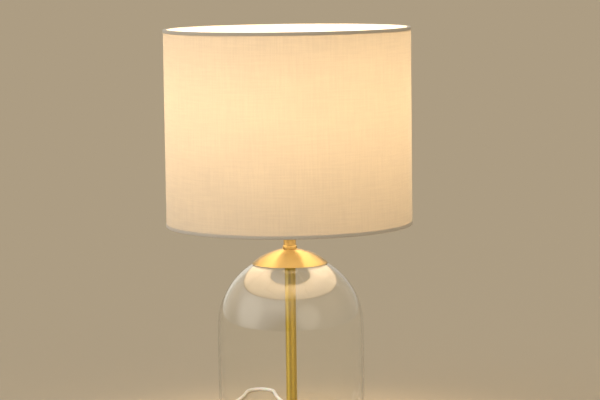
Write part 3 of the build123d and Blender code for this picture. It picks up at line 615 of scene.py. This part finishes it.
def wall(radius, low, high, step=0.35):
    """Closely spaced points up a straight wall, for a thread to shape."""
    count = int((high - low) / step)
    return [(radius, low + (high - low) * i / count) for i in range(count + 1)]


HOLDER_RADIUS = 19.5
body_outline = [(17.9, 284.5), (17.9, CUP_RIM), (19.2, CUP_RIM)]
body_outline += [(19.2, 299.0), (22.2, 299.0), (22.5, 299.3), (22.5, 300.7), (22.2, 301.0)]
body_outline += [(HOLDER_RADIUS, 301.0)] + wall(HOLDER_RADIUS, 301.4, 319.4)
body_outline += [(19.0, 320.0), (17.4, 320.0), (17.0, 319.7), (14.1, 315.0), (14.1, 284.5)]
lathe(
    "holder_body_moulded",
    "holder_body",
    mm(body_outline),
    "white_holder",
    holder_white,
    reach=threaded(low=301.5, high=319, depth=0.55, pitch=3.0, outside=HOLDER_RADIUS),
)

# Bulb -------------------------------------------------------------------------------------------------

SCREW_RADIUS = 13.1
GLOBE_CENTRE = 363.5
GLOBE_RADIUS = 30
GLOBE_WALL = 1
GLOBE_MOUTH = 11.5
NEAR_TOP = 89.9
cap_wall = [(SCREW_RADIUS, 292.5)] + wall(SCREW_RADIUS, 292.6, 309.5) + [(SCREW_RADIUS, 313.0)]
screw_outline = cap_wall + [(11.5, 313.0), (11.5, 291.5), (10.6, 291.0), (11.6, 291.0)]
lathe(
    "bulb_thread",
    "bulb_screw_cap",
    mm(screw_outline),
    "nickel_shell",
    nickel,
    reach=threaded(low=292.6, high=309.5, depth=1.1, pitch=3.629, outside=SCREW_RADIUS),
)
globe_low = GLOBE_CENTRE - GLOBE_MOUTH
globe_rim = math.sqrt(GLOBE_RADIUS**2 - GLOBE_MOUTH**2)
housing_outline = [(0, 292.0), (11.3, 292.0), (11.3, 313.0), (12.9, 313.0), (13.4, 313.5)]
housing_outline += swing((13.4, 316.0), (globe_rim, globe_low), 70, 28, side=-1) + [(0, globe_low)]
lathe("bulb_body", "bulb_housing", mm(housing_outline), "bulb_plastic", bulb_white)
globe_inside = GLOBE_RADIUS - GLOBE_WALL
opening = math.degrees(math.asin(-GLOBE_MOUTH / GLOBE_RADIUS))
inside_opening = math.degrees(math.asin(-GLOBE_MOUTH / globe_inside))
globe_outline = arc(0, GLOBE_CENTRE, GLOBE_RADIUS, opening, NEAR_TOP, 40)
globe_outline += [(0, GLOBE_CENTRE + GLOBE_RADIUS), (0, GLOBE_CENTRE + globe_inside)]
globe_outline += arc(0, GLOBE_CENTRE, globe_inside, NEAR_TOP, inside_opening, 40)
lathe("bulb_dome", "bulb_globe", mm(globe_outline), "opal_globe", opal_lit)

# Shade ------------------------------------------------------------------------------------------------

PANEL_LOW = 289.3
PANEL_HIGH = 520.7
PANEL_STEPS = 24
CLOTH_OUTSIDE = 150.0
LINER_INSIDE = 149.05
OUTER_FACE = 0.1496
SEAM_HALF = math.radians(2.0)
SEAM_EDGE = math.radians(0.25)
SEAM_RISE = 0.00035


def lap(radius, _height, angle):
    """Lifts the cloth where its two ends lap over each other, at the rear of the shade."""
    if radius < OUTER_FACE:
        return radius
    off = abs(angle - math.pi / 2)
    rise = max(0.0, min(1.0, (SEAM_HALF - off) / SEAM_EDGE))
    return radius + SEAM_RISE * rise


heights = [PANEL_LOW + (PANEL_HIGH - PANEL_LOW) * i / PANEL_STEPS for i in range(PANEL_STEPS + 1)]
cloth_outline = [(CLOTH_OUTSIDE, z) for z in heights] + [(LINER_INSIDE, z) for z in reversed(heights)]
cloth_mesh = turned("shade_cloth", mm(cloth_outline), segments=720, reach=lap)
shade_cloth = new_piece("shade_cloth", cloth_mesh, "shade", fabric)
cloth_mesh.materials.append(liner_white)
for face in cloth_mesh.polygons:
    middle = face.center
    if face.normal.xy.dot(middle.xy) < 0:
        face.material_index = 1
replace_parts(shade_cloth, "shade_fabric", "shade_liner")

PUCKER_DEPTH = 0.00007


def pucker(radius, height, angle):
    """The tape's slight gathers as it is rolled round the wire."""
    wave = math.sin(angle * 173) * 0.6 + math.sin(angle * 97 + height * 900) * 0.4
    return radius + PUCKER_DEPTH * wave


def tape_outline(low):
    """The rolled tape's section: round over the wire, with a thin turned edge against the cloth."""
    section = [
        (145.4, low + 0.6, 0.9),
        (145.4, low + 4.4, 1.3),
        (150.45, low + 4.4, 0.9),
        (150.45, low + 0.1, 0.9),
        (146.0, low + 0.1, 0.9),
    ]
    return mm(fine_corners(section, steps=6))


def mirrored(outline, about):
    """The outline turned upside down about a height."""
    return [(x, 2 * about - y) for x, y in outline]


TOP_TAPE_LOW = 520.5
TOP_TAPE_MIDDLE = 0.52275
LOW_TAPE_LOW = 285.0
top_outline = mirrored(tape_outline(TOP_TAPE_LOW), TOP_TAPE_MIDDLE)
top_tape = turned("tape_top", top_outline, segments=720, reach=pucker)
low_tape = turned("tape_bottom", tape_outline(LOW_TAPE_LOW), segments=720, reach=pucker)
tapes = [("tape_top", top_tape, "shade_top_trim"), ("tape_bottom", low_tape, "shade_bottom_trim")]
for name, mesh, node in tapes:
    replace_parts(new_piece(name, mesh, "shade", tape), node)

# Flex, switch and plug --------------------------------------------------------------------------------

GROOVE_SIDE = 0.25
GROOVE_FLOOR = 1.0
GROOVE_WIDTH = 1.3


def ribbed(rings, ribs, depth):
    """Cuts grooves in the line between two (radius, distance) rings: ribs is (start, end, spacing)."""
    start, end, spacing = ribs
    (wide, near), (narrow, far) = rings
    outline = [(wide, near)]
    at = start
    while at < end:
        radius = wide + (narrow - wide) * (at - near) / (far - near)
        outline += [(radius, at), (radius - depth, at + GROOVE_SIDE)]
        outline += [(radius - depth, at + GROOVE_FLOOR), (radius, at + GROOVE_WIDTH)]
        at += spacing
    return outline + [(narrow, far)]


def along_y(x, height):
    """Turns a piece made about Z so that its axis runs towards +Y at this x and height."""
    return Matrix.Translation((x * MM, 0, height * MM)) @ Matrix.Rotation(math.radians(-90), 4, "X")


relief_outline = [(0, 92.5), (3.9, 92.5), (3.9, 94.3), (3.5, 94.3), (3.5, 96.3)]
relief_outline += [(4.6, 96.3), (4.9, 96.5), (5.0, 96.9), (5.0, 98.2), (4.8, 98.7)]
relief_outline += ribbed([(4.4, 98.8), (2.95, 119.6)], (101.5, 118.0, 2.6), depth=0.75)
relief_outline += [(2.6, 120.0), (0, 120.0)]
lathe(
    "flex_bush",
    "strain_relief",
    mm(relief_outline),
    "white_plug",
    moulded_white,
    segments=64,
    place=along_y(0, 6.5),
)
plug_outline = [(0, 205.0), (2.6, 205.0)]
plug_outline += ribbed([(2.9, 205.3), (5.4, 221.0)], (206.5, 219.0, 2.6), depth=0.7)
plug_outline += [(0, 221.0)]
plug_bush = lathe(
    "plug_bush",
    "plug_relief",
    mm(plug_outline),
    "white_plug",
    moulded_white,
    segments=64,
    place=along_y(-30, 6.9),
)

# The flex's middle line in millimetres: to the switch, on to the coil, and from the coil to the plug.
TO_SWITCH = [
    (0, 120, 6.5),
    (0, 143, 6.5),
    (2, 168, 3.6),
    (7, 206, 2.6),
    (6, 250, 2.6),
    (-9, 294, 2.6),
    (-21, 334, 2.6),
    (-27, 370, 2.6),
    (-30, 398, 2.6),
    (-52, 411, 2.6),
    (-74, 398, 2.6),
    (-77, 368, 2.6),
    (-86, 334, 2.6),
    (-101, 302, 2.6),
    (-118, 276, 3.4),
    (-122, 252, 7),
    (-122, 231, 7),
]
TO_COIL = [
    (-122, 200, 7),
    (-122, 169, 7),
    (-122, 152, 7),
    (-117.5, 136, 5.8),
    (-107, 124, 4.4),
]
TO_PLUG = [
    (-25.6, 158, 8.4),
    (-25.6, 172, 8.4),
    (-30, 189, 6.9),
    (-30, 205, 6.9),
]
COIL_CENTRE = (-62, 150)
COIL_INNER = 20.0
COIL_OUTER = 36.4
COIL_LOWER = 3.2
COIL_UPPER = 8.4
COIL_START = 265
COIL_TURNS = 6 + 95 / 360
CLIMB_TURNS = 0.4
POINTS_PER_TURN = 18
LEAD_IN = 24
FLEX_RADIUS = 2.5


def coil_point(turn):
    """The middle of the flex after this many turns, wound inwards below and then outwards above."""
    angle = math.radians(COIL_START) + 2 * math.pi * turn
    half = COIL_TURNS / 2
    radius = COIL_INNER + (COIL_OUTER - COIL_INNER) * abs(turn - half) / half
    climb = min(1.0, max(0.0, (turn - half) / CLIMB_TURNS + 0.5))
    height = COIL_LOWER + (COIL_UPPER - COIL_LOWER) * climb * climb * (3 - 2 * climb)
    x, y = COIL_CENTRE
    return (x + radius * math.cos(angle), y + radius * math.sin(angle), height)


count = round(COIL_TURNS * POINTS_PER_TURN)
coil = [coil_point(COIL_TURNS * i / count) for i in range(count + 1)]
first = Vector(coil[0])
heading = (Vector(coil[1]) - first).normalized()
lead_in = first - heading * LEAD_IN
route = TO_SWITCH + TO_COIL + [tuple(lead_in)] + coil + TO_PLUG

flex_curve = bpy.data.curves.new("mains_flex", "CURVE")
flex_curve.dimensions = "3D"
flex_curve.bevel_depth = FLEX_RADIUS * MM
flex_curve.bevel_resolution = 5
flex_curve.resolution_u = 10
spline = flex_curve.splines.new("NURBS")
spline.points.add(len(route) - 1)
for point, place in zip(spline.points, route):
    point.co = (*[c * MM for c in place], 1)
spline.order_u = 3
spline.use_endpoint_u = True
flex_curve.materials.append(sheath)
flex = bpy.data.objects.new("mains_flex", flex_curve)
bpy.context.scene.collection.objects.link(flex)
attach(flex, "stand")
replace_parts(flex, "flex_to_switch", "flex_to_coil", "flex_coil", "flex_to_plug")

# Stage, lights and camera -----------------------------------------------------------------------------

SPAN = 120.0
floor_corners = [(-SPAN, -SPAN, 0), (SPAN, -SPAN, 0), (SPAN, SPAN, 0), (-SPAN, SPAN, 0)]
floor_mesh = bpy.data.meshes.new("floor")
floor_mesh.from_pydata(floor_corners, [], [(0, 1, 2, 3)])
floor_maker = Maker("floor", (0.517, 0.438, 0.327), roughness=0.9)
floor_maker.put("Specular IOR Level", 0.0)
floor_mesh.materials.append(floor_maker.material)
floor = bpy.data.objects.new("floor", floor_mesh)
bpy.context.scene.collection.objects.link(floor)

AMBIENT = (0.365, 0.33, 0.27)
DAYLIGHT = (0.90, 0.96, 1.02)
CREAM = (1.0, 0.93, 0.79)
AMBER = (1.0, 0.80, 0.56)
DARKER = -0.70
# Broad soft lights round the lamp: bearing from the front, elevation and angle from the middle to the
# edge, all in degrees, then strength and colour. The last one is an unlit corner: it takes light away.
SOFT_LIGHTS = [
    (-58, 40, 62, 0.98, DAYLIGHT),
    (55, 34, 52, 0.27, AMBER),
    (-76, 22, 31, 0.68, CREAM),
    (30, 20, 26, 0.8, CREAM),
    (-150, 26, 54, 0.42, CREAM),
    (160, 24, 50, 0.15, AMBER),
    (-27, 5, 33, DARKER, CREAM),
]

world = bpy.data.worlds.new("studio")
world.use_nodes = True
sky_tree = world.node_tree
bearing_of = sky_tree.nodes.new("ShaderNodeTexCoord")


def sky_node(kind, operation, *values):
    """A node of the sky's colour, with its inputs set to values or linked to other nodes' outputs."""
    made = sky_tree.nodes.new(kind)
    made.operation = operation
    for socket, value in values:
        if isinstance(value, bpy.types.NodeSocket):
            sky_tree.links.new(value, made.inputs[socket])
        else:
            made.inputs[socket].default_value = value
    return made


def soft_light(bearing, elevation, reach, strength, colour, under):
    """Adds one soft light to the sky under it, and returns the sky's new colour."""
    round_angle, rise = math.radians(bearing), math.radians(elevation)
    level = math.cos(rise)
    middle = (math.sin(round_angle) * level, -math.cos(round_angle) * level, math.sin(rise))
    looking = bearing_of.outputs["Generated"]
    along = sky_node("ShaderNodeVectorMath", "DOT_PRODUCT", (0, looking), (1, middle))
    fade = sky_tree.nodes.new("ShaderNodeMapRange")
    fade.interpolation_type = "SMOOTHERSTEP"
    fade.inputs["From Min"].default_value = math.cos(math.radians(reach))
    sky_tree.links.new(along.outputs["Value"], fade.inputs["Value"])
    full = tuple(strength * c for c in colour)
    lit = sky_node("ShaderNodeVectorMath", "SCALE", (0, full), ("Scale", fade.outputs["Result"]))
    return sky_node("ShaderNodeVectorMath", "ADD", (0, lit.outputs[0]), (1, under)).outputs[0]


sky_colour = AMBIENT
for light in SOFT_LIGHTS:
    sky_colour = soft_light(*light, sky_colour)
no_less = sky_node("ShaderNodeVectorMath", "MAXIMUM", (0, sky_colour), (1, (0, 0, 0)))
sky_tree.links.new(no_less.outputs[0], sky_tree.nodes["Background"].inputs["Color"])
bpy.context.scene.world = world

# The lamp's light. Its middle is 45 mm above the globe, level with the brightest band of the shade.
GLOW_POWER = 4.42
GLOW_COLOUR = (1.0, 0.745, 0.485)
GLOW_RADIUS = 0.028
GLOW_HEIGHT = 0.439
glow_data = bpy.data.lights.new("bulb_glow", "POINT")
glow_data.energy = GLOW_POWER
glow_data.color = GLOW_COLOUR
glow_data.shadow_soft_size = GLOW_RADIUS
glow = bpy.data.objects.new("bulb_glow", glow_data)
glow.location = (0, 0, GLOW_HEIGHT)
glow.visible_camera = False
glow.visible_glossy = False
glow.visible_transmission = False
bpy.context.scene.collection.objects.link(glow)
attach(glow, "bulb")

CAMERA_PLACE = (0.01323, -2.77312, 0.61862)
CAMERA_DROP = 0.1091
CAMERA_ROLL = -0.0130
camera_data = bpy.data.cameras.new("camera")
camera_data.sensor_width = 36.0
camera_data.lens = 137.12
camera = bpy.data.objects.new("camera", camera_data)
tilt = Matrix.Rotation(math.radians(90) - CAMERA_DROP, 4, "X")
roll = Matrix.Rotation(CAMERA_ROLL, 4, "Z")
camera.matrix_world = Matrix.Translation(CAMERA_PLACE) @ tilt @ roll
bpy.context.scene.collection.objects.link(camera)
bpy.context.scene.camera = camera
bpy.context.scene.view_settings.view_transform = "Standard"
bpy.context.scene.view_settings.look = "None"
